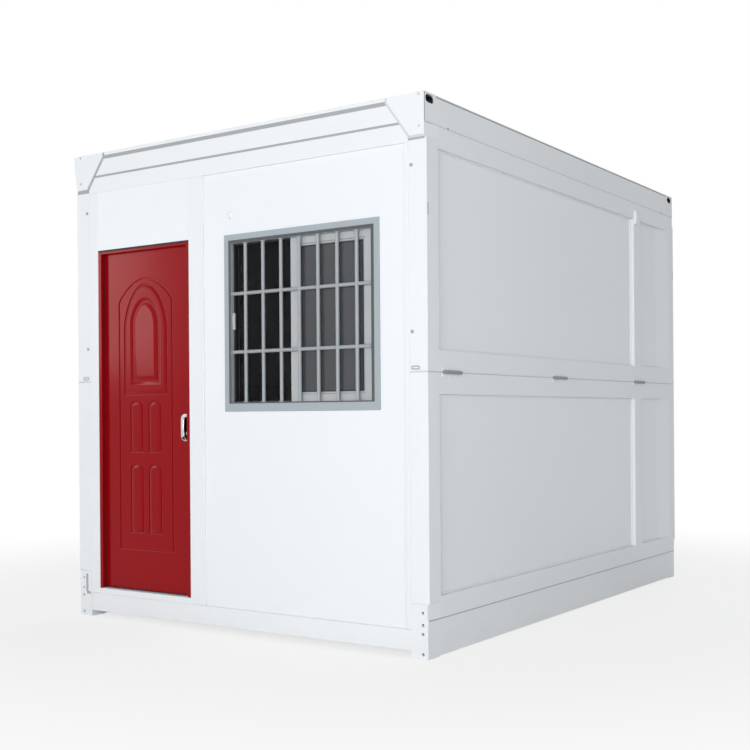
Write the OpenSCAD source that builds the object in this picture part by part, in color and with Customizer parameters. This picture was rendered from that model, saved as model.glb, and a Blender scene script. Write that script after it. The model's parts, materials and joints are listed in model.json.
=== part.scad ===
// Folding container house. A base frame and a roof frame are held apart by two side walls, each
// made of a lower and an upper leaf hinged together at mid height, and are closed by two end
// walls. The front end wall carries the entrance door and a barred sliding window.
// Origin at the centre of the footprint on the ground, +Z up, the front faces -Y, so +X is on
// the right-hand side of someone who faces the door. Heights are above the ground.

/* [Overall size] */
// Length over the corner posts, along Y
house_l = 3120; // [2800:10:6000]
// Width over the corner posts, along X
house_w = 2260; // [2200:10:2800]
// Height from the ground to the top of the roof frame
house_h = 2520; // [2480:10:3100]

/* [Corners] */
// Width of a corner post across the end of the house
post_w = 97; // [90:1:120]
// Depth of a corner post along the side of the house
post_d = 98; // [90:1:120]
// Height of a base corner block
base_block_h = 245; // [200:1:300]
// Height of a roof corner block
roof_block_h = 199; // [160:1:240]
// How far the corner blocks stand back from the side face of the posts
block_inset = 8; // [2:1:15]
// Diameter of the bolt holes in the corner blocks
bolt_hole_d = 14; // [8:1:18]
// Depth of the bolt holes
bolt_hole_depth = 40; // [20:1:60]
// Distance of the bolt holes from the corner edge of the post
bolt_hole_edge = 27; // [20:1:50]

/* [Base and floor] */
// Depth of a side base beam
side_base_h = 170; // [140:1:220]
// Gap under the side base beams
side_base_gap = 4; // [2:1:20]
// Gap under the end base beams
end_base_gap = 32; // [10:1:60]
// Depth of an end base beam
end_base_h = 95; // [80:1:120]
// Thickness of the floor boards
floor_t = 20; // [15:1:30]
// Width of a floor joist
joist_w = 50; // [40:1:70]
// Depth of a floor joist
joist_h = 88; // [60:1:92]
// Number of floor joists
joist_count = 6; // [4:1:12]

/* [Roof] */
// Depth of a side roof beam
side_roof_h = 138; // [110:1:170]
// Depth of an end roof beam
end_roof_h = 127; // [110:1:160]
// Height of the lip along the top of an end roof beam
roof_lip_h = 25; // [15:1:40]
// Height of the lip along the top of a side roof beam
side_lip_h = 6; // [4:1:40]
// Depth of the groove under the lip
lip_groove = 4; // [2:1:8]
// Thickness of the roof panel
roof_panel_t = 50; // [40:1:75]
// How far the roof panel lies below the top of the roof frame
roof_panel_drop = 12; // [5:1:30]
// Thickness of the ceiling board
ceiling_t = 10; // [6:1:20]
// Thickness of the corner plates on the end faces of the roof frame
plate_t = 6; // [4:1:10]
// Width of a corner plate at its top
plate_w = 206; // [150:1:260]
// How far the front left corner plate reaches past its post
plate_over = 14; // [5:1:20]
// Length of the lifting slot in the side face of a roof corner
slot_l = 75; // [50:1:85]
// Height of the lifting slot
slot_h = 38; // [25:1:50]
// Depth of the lifting slot
slot_depth = 60; // [40:1:70]

/* [Side walls] */
// Thickness of the side wall frames
side_t = 75; // [60:1:90]
// Height of the rails of the side wall frames
rail_h = 98; // [80:1:120]
// Width of the intermediate stile in the side walls
mid_stile_w = 115; // [80:1:140]
// Clear width of the short bay behind the intermediate stile
short_bay_w = 479; // [300:1:700]
// How far the side panels stand back from the frame faces
side_recess = 25; // [15:1:35]
// Gap at the fold line between the lower and the upper leaf
fold_gap = 4; // [2:1:8]
// Length of a hinge on the fold line
hinge_l = 160; // [100:1:200]
// Height of a hinge's plates together
hinge_h = 44; // [30:1:60]
// Thickness of a hinge plate
hinge_t = 5; // [3:1:8]
// Diameter of a hinge barrel
hinge_d = 18; // [12:1:24]
// Height of the cap over the head of the intermediate stile
cap_h = 86; // [60:1:110]
// Width of the cap
cap_w = 50; // [30:1:70]
// How far the cap stands out from the side wall
cap_out = 20; // [17:1:30]

/* [End walls] */
// Thickness of the end wall frames
end_t = 80; // [70:1:96]
// Height of the top rail of an end wall
top_rail_h = 89; // [70:1:110]
// Thickness of the wall panels
panel_t = 50; // [40:1:50]
// How far the end wall panels stand back from the frame face
end_recess = 10; // [5:1:20]
// Width of the stile on the door side of an end wall
stile_w = 64; // [40:1:90]
// Width of the post between the door and the window panel
door_post_w = 100; // [60:1:120]
// Width of the stile on the window side
right_stile_w = 24; // [15:1:60]

/* [Door] */
// Width of the doorway in the wall
door_w = 668; // [600:1:830]
// Height of the doorway in the wall
door_h = 1831; // [1700:1:1950]
// Height of the door sill
sill_h = 31; // [15:1:50]
// Width of the lip around the front of the door frame
door_lip = 22; // [20:1:30]
// Depth of that lip
door_lip_t = 22; // [10:1:25]
// How far the door frame stands back from the wall face
frame_set = 2; // [0:1:5]
// Wall thickness of the door frame behind the lip
door_jamb_t = 8; // [5:1:10]
// Thickness of the door leaf
leaf_t = 48; // [38:1:50]
// Gap between the leaf and the frame on the hinge side, at the head and behind the lip
leaf_gap = 5.5; // [5:0.5:8]
// Gap between the leaf and the frame on the lock side, which clears the swinging corner
lock_gap = 8.5; // [8:0.5:12]
// Gap under the leaf
foot_gap = 6; // [5:0.5:12]
// Radius of a door hinge knuckle
knuckle_r = 8; // [6:0.5:10]
// Height of a door hinge
door_hinge_h = 120; // [80:1:150]
// Radius of a door hinge pin
pin_r = 5; // [3:0.5:5.5]
// Running clearance around a hinge pin
pin_gap = 0.1; // [0.05:0.01:0.2]
// Height of the lock plate
lock_h = 134; // [100:1:180]
// Width of the lock plate
lock_w = 54; // [40:1:60]
// How far the lock grip stands out from the leaf
lock_out = 28; // [24:1:30]
// Height of the middle of the lock above the ground
lock_z = 1029; // [950:1:1100]

/* [Window] */
// Width of the window frame
win_w = 934; // [700:1:1100]
// Height of the window frame
win_h = 880; // [600:1:1000]
// Face width of the window frame
win_face = 45; // [25:1:50]
// Depth of the window frame
win_depth = 60; // [60:1:70]
// How far the window frame stands back from the wall face
win_set = 4; // [2:1:8]
// Face width of a sash
sash_face = 60; // [40:1:70]
// How far a sash reaches past the middle of the window
sash_lap = 62; // [20:1:80]
// Thickness of a sash
sash_t = 16; // [12:1:18]
// Thickness of the glass
glass_t = 5; // [4:1:6]
// Number of upright bars in the guard
bar_count = 7; // [3:1:7]
// Distance between upright bars
bar_pitch = 112; // [80:1:120]
// Number of cross bars in the guard
cross_count = 2; // [1:1:2]
// Distance between cross bars
cross_pitch = 290; // [150:1:320]
// Diameter of a guard bar
bar_d = 18; // [10:1:20]

/* [Hidden] */
$fn = 48;

white = [0.93, 0.94, 0.95];
steel = [0.72, 0.74, 0.75];
red = [0.55, 0.05, 0.08];
timber = [0.55, 0.47, 0.38];

// Outer faces and the clear rectangle between the beams
x_out = house_w / 2;
y_out = house_l / 2;
x_in = x_out - post_w;
y_in = y_out - post_d;

// Levels of the base, the walls and the roof
side_base_top = side_base_gap + side_base_h;
end_base_top = end_base_gap + end_base_h;
floor_top = end_base_top + floor_t;
side_roof_z = house_h - side_roof_h;
end_roof_z = house_h - end_roof_h;
roof_block_z = house_h - roof_block_h;
top_rail_z = end_roof_z - top_rail_h;
fold_z = (side_base_top + side_roof_z) / 2;
panel_top = house_h - roof_panel_drop;

// Bolt holes in the blocks, as heights in a base block and as depths below the roof's top
base_holes = [22, 112, 152, 206];
roof_holes = [12, 154];

// The intermediate stile of a side wall, measured along Y
stile_y1 = y_in - short_bay_w;
stile_y0 = stile_y1 - mid_stile_w;

// Door: outer edges of the frame, the leaf and the hinge line
door_x0 = -x_in + stile_w;
door_x1 = door_x0 + door_w;
door_z0 = end_base_top + sill_h;
door_z1 = door_z0 + door_h;
leaf_x0 = door_x0 + door_jamb_t + leaf_gap;
leaf_x1 = door_x1 - door_jamb_t - lock_gap;
leaf_z0 = door_z0 + foot_gap;
leaf_z1 = door_z1 - door_jamb_t - leaf_gap;
leaf_y0 = -y_out + frame_set + door_lip_t + leaf_gap;
leaf_y1 = leaf_y0 + leaf_t;
pin_x = leaf_x0 - leaf_gap / 2;
pin_y = -y_out + end_t + knuckle_r + 2;
hinge_plate_t = 3;
door_hinges = [for (s = [0.14, 0.5, 0.86]) leaf_z0 + s * (leaf_z1 - leaf_z0)];

// Window panel and window, with the window's head level with the doorway's
panel_x0 = door_x1 + door_post_w;
panel_x1 = x_in - right_stile_w;
win_xm = (panel_x0 + panel_x1) / 2;
win_x0 = win_xm - win_w / 2;
win_x1 = win_xm + win_w / 2;
win_z1 = door_z1;
win_z0 = win_z1 - win_h;
light_x0 = win_x0 + win_face;
light_x1 = win_x1 - win_face;
light_z0 = win_z0 + win_face;
light_z1 = win_z1 - win_face;
sash_y0 = -y_out + win_set + 22;
sash_step = sash_t + 3;

// A box between two opposite corners
module block(low, high) {
    translate(low) cube(high - low);
}

// A rectangular ring in an upright plane, from y0 to y1
module ring(x0, x1, z0, z1, face, y0, y1) {
    difference() {
        block([x0, y0, z0], [x1, y1, z1]);
        block([x0 + face, y0 - 1, z0 + face], [x1 - face, y1 + 1, z1 - face]);
    }
}

// The shape drawn for the front right corner, placed at the corner with these signs
module at_corner(side, end) {
    mirror([side < 0 ? 1 : 0, 0, 0]) mirror([0, end > 0 ? 1 : 0, 0]) children();
}

// Base corner block with its bolt holes in the end face
module base_corner() {
    color(white) difference() {
        block([x_in, -y_out, 0], [x_out - block_inset, -y_in, base_block_h]);
        for (z = base_holes) {
            translate([x_out - bolt_hole_edge - block_inset, -y_out - 1, z]) rotate([-90, 0, 0])
                cylinder(d = bolt_hole_d, h = bolt_hole_depth + 1);
        }
    }
}

// Roof corner block with two bolt holes in the end face and the lifting slot in the side face
module roof_corner() {
    slot_y = -y_out + slot_l / 2 + 8;
    slot_z = house_h - slot_h / 2 - 8;
    color(white) difference() {
        block([x_in, -y_out, roof_block_z], [x_out - block_inset, -y_in, house_h]);
        for (z = roof_holes) {
            translate([x_out - bolt_hole_edge - block_inset, -y_out - 1, house_h - z])
                rotate([-90, 0, 0]) cylinder(d = bolt_hole_d, h = bolt_hole_depth + 1);
        }
        translate([x_out - slot_depth, slot_y, slot_z]) rotate([0, 90, 0])
            linear_extrude(slot_depth + 1) {
                square([slot_h, slot_l - slot_h], center = true);
                for (s = [-1, 1]) translate([0, s * (slot_l - slot_h) / 2]) circle(d = slot_h);
            }
    }
}

module base_beam_end() {
    color(white) block([-x_in, -y_out, end_base_gap], [x_in, -y_in, end_base_top]);
}

module base_beam_side() {
    color(white) block([x_in, -y_in, side_base_gap], [x_out - block_inset, y_in, side_base_top]);
}

module floor_joists() {
    run = 2 * y_in - joist_w;
    color(steel) for (i = [0 : joist_count - 1]) {
        y = -y_in + run * (i + 0.5) / joist_count;
        block([-x_in, y, end_base_top - joist_h], [x_in, y + joist_w, end_base_top]);
    }
}

module floor_boards() {
    color(timber) block([-x_in, -y_in, end_base_top], [x_in, y_in, floor_top]);
}

// Section of a roof beam: x grows inwards from the outer face and y is up from its underside
module roof_beam_section(depth, height, lip) {
    polygon([[0, 0], [depth, 0], [depth, height], [0, height], [0, height - lip],
        [lip_groove, height - lip], [lip_groove, height - lip - lip_groove],
        [0, height - lip - lip_groove]]);
}

module roof_beam_end() {
    color(white) translate([-x_in, -y_out, end_roof_z]) rotate([90, 0, 90])
        linear_extrude(2 * x_in) roof_beam_section(post_d, end_roof_h, roof_lip_h);
}

module roof_beam_side() {
    color(white) translate([x_out - block_inset, y_in, side_roof_z]) rotate([90, 0, 0])
        mirror([1, 0, 0]) linear_extrude(2 * y_in)
            roof_beam_section(post_w - block_inset, side_roof_h, side_lip_h);
}

module roof_panel() {
    color(white) block([-x_in, -y_in, panel_top - roof_panel_t], [x_in, y_in, panel_top]);
}

module ceiling() {
    color(white) block([-x_in, -y_in, end_roof_z], [x_in, y_in, end_roof_z + ceiling_t]);
}

// One leaf of a side wall: a post at each end, two rails and the intermediate stile
module side_frame(z0, z1, post_z0, post_z1) {
    color(white) difference() {
        union() {
            block([x_out - side_t, -y_in, z0], [x_out, y_in, z1]);
            for (y = [-y_out, y_in]) block([x_in, y, post_z0], [x_out, y + post_d, post_z1]);
        }
        block([x_out - side_t - 1, -y_in, z0 + rail_h], [x_out + 1, stile_y0, z1 - rail_h]);
        block([x_out - side_t - 1, stile_y1, z0 + rail_h], [x_out + 1, y_in, z1 - rail_h]);
    }
}

module side_panels(z0, z1) {
    x1 = x_out - side_recess;
    color(white) for (y = [[-y_in, stile_y0], [stile_y1, y_in]]) {
        block([x_out - side_t, y[0], z0 + rail_h], [x1, y[1], z1 - rail_h]);
    }
}

module lower_frame() {
    side_frame(side_base_top, fold_z - fold_gap / 2, base_block_h, fold_z - fold_gap / 2);
}

module upper_frame() {
    side_frame(fold_z + fold_gap / 2, side_roof_z, fold_z + fold_gap / 2, roof_block_z);
}

module lower_panels() {
    side_panels(side_base_top, fold_z - fold_gap / 2);
}

module upper_panels() {
    side_panels(fold_z + fold_gap / 2, side_roof_z);
}

// Three hinges along the fold line, their barrels outside the wall
module wall_hinges() {
    front_y = -y_out + post_d + hinge_l / 2 + 22;
    back_y = (stile_y0 + stile_y1) / 2;
    color(steel) for (y = [front_y, (front_y + back_y) / 2, back_y]) {
        block([x_out, y - hinge_l / 2, fold_z - hinge_h / 2],
            [x_out + hinge_t, y + hinge_l / 2, fold_z + hinge_h / 2]);
        translate([x_out + hinge_d / 2, y - hinge_l / 2, fold_z]) rotate([-90, 0, 0])
            cylinder(d = hinge_d, h = hinge_l);
    }
}

// Rounded cap over the head of the intermediate stile, on both side walls
module stile_caps() {
    cap_z = side_roof_z - rail_h + 10;
    color(white) for (s = [0, 1]) mirror([s, 0, 0])
        translate([x_out, stile_y0 + cap_w / 2, cap_z]) intersection() {
            block([0, -cap_w / 2, -cap_h / 2], [cap_out, cap_w / 2, cap_h / 2]);
            translate([-cap_h, 0, 0]) rotate([90, 0, 0])
                cylinder(r = cap_h + cap_out, h = cap_w, center = true);
        }
}

module end_top_rail() {
    color(white) block([-x_in, -y_out, top_rail_z], [x_in, -y_out + end_t, end_roof_z]);
}

module end_stile(x0, x1) {
    color(white) block([x0, -y_out, end_base_top], [x1, -y_out + end_t, top_rail_z]);
}

module front_panel_over_door() {
    color(white) block([door_x0, -y_out + 1, door_z1], [door_x1, -y_out + end_t - 1, top_rail_z]);
}

module front_window_panel() {
    y0 = -y_out + end_recess;
    color(white) difference() {
        block([panel_x0, y0, end_base_top], [panel_x1, y0 + panel_t, top_rail_z]);
        block([win_x0, y0 - 1, win_z0], [win_x1, y0 + panel_t + 1, win_z1]);
    }
}

module door_sill() {
    color(white) block([door_x0, -y_out, end_base_top], [door_x1, -y_out + end_t, door_z0]);
}

// Door frame: jambs and head, each with a lip that the leaf closes behind
module door_frame() {
    y0 = -y_out + frame_set;
    y1 = y0 + door_lip_t;
    y2 = -y_out + end_t;
    color(red) difference() {
        block([door_x0, y0, door_z0], [door_x1, y2, door_z1]);
        block([door_x0 + door_lip, y0 - 1, door_z0 - 1],
            [door_x1 - door_lip, y2 + 1, door_z1 - door_lip]);
        block([door_x0 + door_jamb_t, y1, door_z0 - 1],
            [door_x1 - door_jamb_t, y2 + 1, door_z1 - door_jamb_t]);
    }
}

module door_leaf() {
    color(red) block([leaf_x0, leaf_y0, leaf_z0], [leaf_x1, leaf_y1, leaf_z1]);
}

// Lock plate with an upright grip, drawn with its back face at y = 0 and facing -Y
module lock_half() {
    plate = 4;
    grip_w = 16;
    grip_h = lock_h * 0.6;
    rotate([90, 0, 0]) linear_extrude(plate) {
        square([lock_w, lock_h - lock_w], center = true);
        for (s = [-1, 1]) translate([0, s * (lock_h - lock_w) / 2]) circle(d = lock_w);
    }
    difference() {
        block([-grip_w / 2, -lock_out, -grip_h / 2], [grip_w / 2, 0, grip_h / 2]);
        block([-grip_w, -lock_out + 9, -grip_h / 2 + 12], [grip_w, -plate, grip_h / 2 - 12]);
    }
}

module door_lock() {
    lock_x = door_x1 - door_lip - 5 - lock_w / 2;
    color(steel) {
        translate([lock_x, leaf_y0, lock_z]) lock_half();
        translate([lock_x, leaf_y1, lock_z]) mirror([0, 1, 0]) lock_half();
    }
}

// Frame half of each door hinge: a plate on the wall's inner face, a knuckle and the pin
module door_hinge_pins() {
    wall_y = -y_out + end_t;
    half = door_hinge_h / 2;
    color(steel) for (z = door_hinges) translate([0, 0, z]) {
        block([pin_x - 36, wall_y, -half], [pin_x - knuckle_r / 2, wall_y + hinge_plate_t, -1]);
        block([pin_x - knuckle_r, wall_y, -half], [pin_x, pin_y, -1]);
        translate([pin_x, pin_y, -half]) cylinder(r = knuckle_r, h = half - 1);
        translate([pin_x, pin_y, -2]) cylinder(r = pin_r, h = half);
    }
}

// Leaf half of each door hinge: a plate on the leaf and a knuckle that turns on the pin
module door_hinge_knuckles() {
    half = door_hinge_h / 2;
    color(steel) for (z = door_hinges) translate([0, 0, z]) difference() {
        union() {
            block([leaf_x0 + 1, leaf_y1, 1], [leaf_x0 + 34, leaf_y1 + hinge_plate_t, half]);
            block([leaf_x0 + 1, leaf_y1, 1], [pin_x + knuckle_r, pin_y, half]);
            translate([pin_x, pin_y, 1]) cylinder(r = knuckle_r, h = half - 1);
        }
        translate([pin_x, pin_y, 0]) cylinder(r = pin_r + pin_gap, h = half + 1);
    }
}

module window_frame() {
    color(steel) ring(win_x0, win_x1, win_z0, win_z1, win_face, -y_out + win_set,
        -y_out + win_set + win_depth);
}

// Both sashes stand in the right half of the window, one behind the other
module sash(step) {
    y0 = sash_y0 + step * sash_step;
    color(white) ring(win_xm - sash_lap, light_x1, light_z0, light_z1, sash_face, y0, y0 + sash_t);
}

module window_glass() {
    color([0.3, 0.33, 0.36]) for (step = [0, 1]) {
        y0 = sash_y0 + step * sash_step + (sash_t - glass_t) / 2;
        block([win_xm - sash_lap + sash_face, y0, light_z0 + sash_face],
            [light_x1 - sash_face, y0 + glass_t, light_z1 - sash_face]);
    }
}

// Welded guard of round bars inside the window frame
module window_guard() {
    bar_y = -y_out + win_set + bar_d / 2 + 2;
    mid_z = (light_z0 + light_z1) / 2;
    color(steel) {
        for (i = [0 : bar_count - 1]) {
            x = win_xm + (i - (bar_count - 1) / 2) * bar_pitch;
            translate([x, bar_y, light_z0]) cylinder(d = bar_d, h = light_z1 - light_z0);
        }
        for (i = [0 : cross_count - 1]) {
            z = mid_z + (i - (cross_count - 1) / 2) * cross_pitch;
            translate([light_x0, bar_y, z]) rotate([0, 90, 0])
                cylinder(d = bar_d, h = light_x1 - light_x0);
        }
    }
}

// Back end wall: a top rail and three stiles with a panel in each bay
module back_frame() {
    color(white) mirror([0, 1, 0]) {
        end_top_rail();
        for (x = [-x_in, -stile_w / 2, x_in - stile_w]) end_stile(x, x + stile_w);
    }
}

module back_panels() {
    y0 = y_out - end_recess - panel_t;
    color(white) for (s = [0, 1]) mirror([s, 0, 0]) {
        block([stile_w / 2, y0, end_base_top], [x_in - stile_w, y0 + panel_t, top_rail_z]);
    }
}

// Corner plates: one front plate reaches past its post, and the others stop at the block
module corner_plate(over) {
    top = house_h - 3;
    edge = x_out + over;
    color(white) translate([0, -y_out, 0]) rotate([90, 0, 0]) linear_extrude(plate_t)
        polygon([[edge, top], [x_out - plate_w, top], [x_out - plate_w, top - 22],
            [x_out - plate_w + 75, top - 124], [x_out - plate_w + 121, top - 187],
            [x_out - block_inset, top - 187], [edge, top - 60]]);
}

module roof_corner_plated(over) {
    difference() {
        union() {
            roof_corner();
            corner_plate(over);
        }
        for (z = roof_holes) {
            translate([x_out - bolt_hole_edge - block_inset, -y_out - plate_t - 1, house_h - z])
                rotate([-90, 0, 0]) cylinder(d = bolt_hole_d, h = bolt_hole_depth);
        }
    }
}

at_corner(-1, -1) base_corner();  // base_corner_front_left
at_corner(1, -1) base_corner();  // base_corner_front_right
at_corner(-1, 1) base_corner();  // base_corner_back_left
at_corner(1, 1) base_corner();  // base_corner_back_right
base_beam_end();  // base_beam_front
mirror([0, 1, 0]) base_beam_end();  // base_beam_back
mirror([1, 0, 0]) base_beam_side();  // base_beam_left
base_beam_side();  // base_beam_right
floor_joists();
floor_boards();
at_corner(-1, -1) roof_corner_plated(plate_over);  // roof_corner_front_left
at_corner(1, -1) roof_corner_plated(-block_inset);  // roof_corner_front_right
at_corner(-1, 1) roof_corner_plated(-block_inset);  // roof_corner_back_left
at_corner(1, 1) roof_corner_plated(-block_inset);  // roof_corner_back_right
roof_beam_end();  // roof_beam_front
mirror([0, 1, 0]) roof_beam_end();  // roof_beam_back
mirror([1, 0, 0]) roof_beam_side();  // roof_beam_left
roof_beam_side();  // roof_beam_right
roof_panel();
ceiling();
mirror([1, 0, 0]) lower_frame();  // left_lower_frame
mirror([1, 0, 0]) upper_frame();  // left_upper_frame
mirror([1, 0, 0]) lower_panels();  // left_lower_panels
mirror([1, 0, 0]) upper_panels();  // left_upper_panels
mirror([1, 0, 0]) wall_hinges();  // left_wall_hinges
lower_frame();  // right_lower_frame
upper_frame();  // right_upper_frame
lower_panels();  // right_lower_panels
upper_panels();  // right_upper_panels
wall_hinges();  // right_wall_hinges
stile_caps();
end_top_rail();  // front_top_rail
end_stile(-x_in, door_x0);  // front_left_stile
end_stile(door_x1, panel_x0);  // front_door_post
end_stile(panel_x1, x_in);  // front_right_stile
front_panel_over_door();
front_window_panel();
door_sill();
door_frame();
door_leaf();
door_lock();
door_hinge_pins();
door_hinge_knuckles();
window_frame();
sash(0);  // window_sash_front
sash(1);  // window_sash_back
window_glass();
window_guard();
back_frame();
back_panels();
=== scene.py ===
import json
import math
import bpy
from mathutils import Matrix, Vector


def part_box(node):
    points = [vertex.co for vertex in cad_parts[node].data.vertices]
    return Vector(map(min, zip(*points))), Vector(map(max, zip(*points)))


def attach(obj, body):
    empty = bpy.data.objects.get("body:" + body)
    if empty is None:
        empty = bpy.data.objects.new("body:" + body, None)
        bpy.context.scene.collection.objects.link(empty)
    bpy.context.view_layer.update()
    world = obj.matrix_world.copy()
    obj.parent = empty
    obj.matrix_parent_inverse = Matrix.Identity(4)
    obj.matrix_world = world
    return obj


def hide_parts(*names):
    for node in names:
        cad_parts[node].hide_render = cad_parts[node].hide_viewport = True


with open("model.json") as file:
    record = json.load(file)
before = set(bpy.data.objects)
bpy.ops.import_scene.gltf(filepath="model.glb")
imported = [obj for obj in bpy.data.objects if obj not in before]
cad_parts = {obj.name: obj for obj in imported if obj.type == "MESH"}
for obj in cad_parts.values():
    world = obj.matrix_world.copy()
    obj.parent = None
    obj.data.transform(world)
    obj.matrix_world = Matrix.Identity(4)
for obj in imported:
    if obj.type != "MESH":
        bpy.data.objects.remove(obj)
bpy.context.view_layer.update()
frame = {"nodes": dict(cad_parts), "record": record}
scene = bpy.context.scene
scene.view_settings.view_transform = "Standard"
nodeBox = {name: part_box(name) for name in frame["nodes"]}


def startFresh():
    if bpy.context.mode != "OBJECT":
        bpy.ops.object.mode_set(mode="OBJECT")
    bpy.ops.object.select_all(action="DESELECT")


def pick(*pieces):
    startFresh()
    for piece in pieces:
        piece.select_set(True)
    bpy.context.view_layer.objects.active = pieces[0]


def settle(piece):  # puts the piece's place into its mesh
    pick(piece)
    bpy.ops.object.transform_apply(location=True, rotation=True, scale=True)
    return piece


def addBlock(name, low, high):
    startFresh()
    middle = [(a + b) / 2 for a, b in zip(low, high)]
    bpy.ops.mesh.primitive_cube_add(size=1, location=middle)
    piece = bpy.context.object
    piece.name = name
    piece.scale = [b - a for a, b in zip(low, high)]
    return settle(piece)


def addRod(name, middle, radius, length, axis="Z", sides=24):
    startFresh()
    turn = {"X": (0, math.pi / 2, 0), "Y": (math.pi / 2, 0, 0), "Z": (0, 0, 0)}[axis]
    bpy.ops.mesh.primitive_cylinder_add(vertices=sides, radius=radius, depth=length,
                                        location=middle, rotation=turn)
    piece = bpy.context.object
    piece.name = name
    return settle(piece)


def chooseFaces(piece, test):  # leaves the piece in edit mode with those faces selected
    pick(piece)
    bpy.ops.object.mode_set(mode="EDIT")
    bpy.ops.mesh.select_mode(type="FACE")
    bpy.ops.mesh.select_all(action="DESELECT")
    bpy.ops.object.mode_set(mode="OBJECT")
    for face in piece.data.polygons:
        face.select = bool(test(face.center, face.normal))
    bpy.ops.object.mode_set(mode="EDIT")


def insetFaces(piece, test, steps):  # each step is (inwards, outwards)
    chooseFaces(piece, test)
    for inwards, outwards in steps:
        bpy.ops.mesh.inset(thickness=max(inwards, 0.00001), depth=outwards)
    bpy.ops.object.mode_set(mode="OBJECT")
    return piece


def roundEdges(piece, width, segments=2, angle=40):
    pick(piece)
    soft = piece.modifiers.new("softEdge", "BEVEL")
    soft.width = width
    soft.segments = segments
    soft.limit_method = "ANGLE"
    soft.angle_limit = math.radians(angle)
    soft.miter_outer = "MITER_ARC"
    bpy.ops.object.modifier_apply(modifier=soft.name)
    return piece


def softBlock(name, low, high, width=0.0008, segments=2):  # a block with rounded edges
    return roundEdges(addBlock(name, low, high), width, segments)


def facing(side, least=0.99):  # a test for the faces that look along an axis, such as "-Y"
    index = "XYZ".index(side[1])
    sign = -1 if side[0] == "-" else 1
    return lambda centre, normal: normal[index] * sign > least


def copyTo(piece, name, shift):
    pick(piece)
    bpy.ops.object.duplicate()
    twin = bpy.context.object
    twin.name = name
    twin.location = shift
    return settle(twin)


def joinAll(name, pieces):
    pick(*pieces)
    if len(pieces) > 1:
        bpy.ops.object.join()
    whole = bpy.context.object
    whole.name = name
    return whole


def spread(piece, shifts):  # the piece and a copy of it at each shift
    return [piece] + [copyTo(piece, piece.name, shift) for shift in shifts]


def faceOutwards():  # goes from edit mode to object mode with every face turned outwards
    bpy.ops.mesh.select_all(action="SELECT")
    bpy.ops.mesh.normals_make_consistent(inside=False)
    bpy.ops.object.mode_set(mode="OBJECT")


def mirrorCopy(piece, name, axis, about=0.0):  # a copy on the other side of the plane at about
    index = "XYZ".index(axis)
    pick(piece)
    bpy.ops.object.duplicate()
    twin = bpy.context.object
    twin.name = name
    twin.scale[index] = -1
    twin.location[index] = 2 * about
    settle(twin)
    bpy.ops.object.mode_set(mode="EDIT")
    faceOutwards()
    return twin


def levelNormals(piece):  # keeps broad flat faces evenly shaded next to their rounded edges
    level = piece.modifiers.new("levelNormals", "WEIGHTED_NORMAL")
    level.keep_sharp = True
    level.weight = 80


def finishPiece(piece, body, slot, replaced=(), angle=35):
    pick(piece)
    bpy.ops.object.shade_smooth_by_angle(angle=math.radians(angle))
    levelNormals(piece)
    piece.data.materials.clear()
    piece.data.materials.append(finishes[slot])
    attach(piece, body)
    if replaced:
        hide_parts(*replaced)
    return piece


def outlineSheet(name, outlines, backY, frontY, steps=()):
    # a sheet cut to outlines given as (x, z) points, standing from backY forward to frontY
    line = bpy.data.curves.new(name, "CURVE")
    line.dimensions = "2D"
    line.fill_mode = "BOTH"
    for points in outlines:
        run = line.splines.new("POLY")
        run.points.add(len(points) - 1)
        run.use_cyclic_u = True
        for spot, (x, z) in zip(run.points, points):
            spot.co = (x, z, 0, 1)
    piece = bpy.data.objects.new(name, line)
    scene.collection.objects.link(piece)
    piece.rotation_euler = (math.pi / 2, 0, 0)
    piece.location = (0, backY, 0)
    pick(piece)
    bpy.ops.object.convert(target="MESH")
    piece = settle(bpy.context.object)
    bpy.ops.object.mode_set(mode="EDIT")
    bpy.ops.mesh.select_all(action="SELECT")
    bpy.ops.mesh.remove_doubles(threshold=0.00005)
    bpy.ops.mesh.dissolve_limited(angle_limit=0.01)
    faceOutwards()
    facing = sum(face.normal.y * face.area for face in piece.data.polygons)
    bpy.ops.object.mode_set(mode="EDIT")
    bpy.ops.mesh.select_all(action="SELECT")
    if facing > 0:
        bpy.ops.mesh.flip_normals()
    bpy.ops.mesh.extrude_region_move(TRANSFORM_OT_translate={"value": (0, frontY - backY, 0)})
    for inwards, outwards in steps:
        bpy.ops.mesh.inset(thickness=inwards, depth=outwards)
    faceOutwards()
    return piece


def archOutline(middleX, halfWidth, low, shoulder, top, pointed=0.0, count=16):
    # an arched panel: straight sides up to the shoulder, then an arch to the top
    points = [(middleX - halfWidth, low), (middleX + halfWidth, low)]
    rise = top - shoulder
    for step in range(count + 1):
        turn = math.pi * step / count
        up = math.sin(turn) ** (1 + pointed)
        points.append((middleX + halfWidth * math.cos(turn), shoulder + rise * up))
    return points


def boxOutline(lowX, highX, lowZ, highZ):
    return [(lowX, lowZ), (highX, lowZ), (highX, highZ), (lowX, highZ)]


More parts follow.
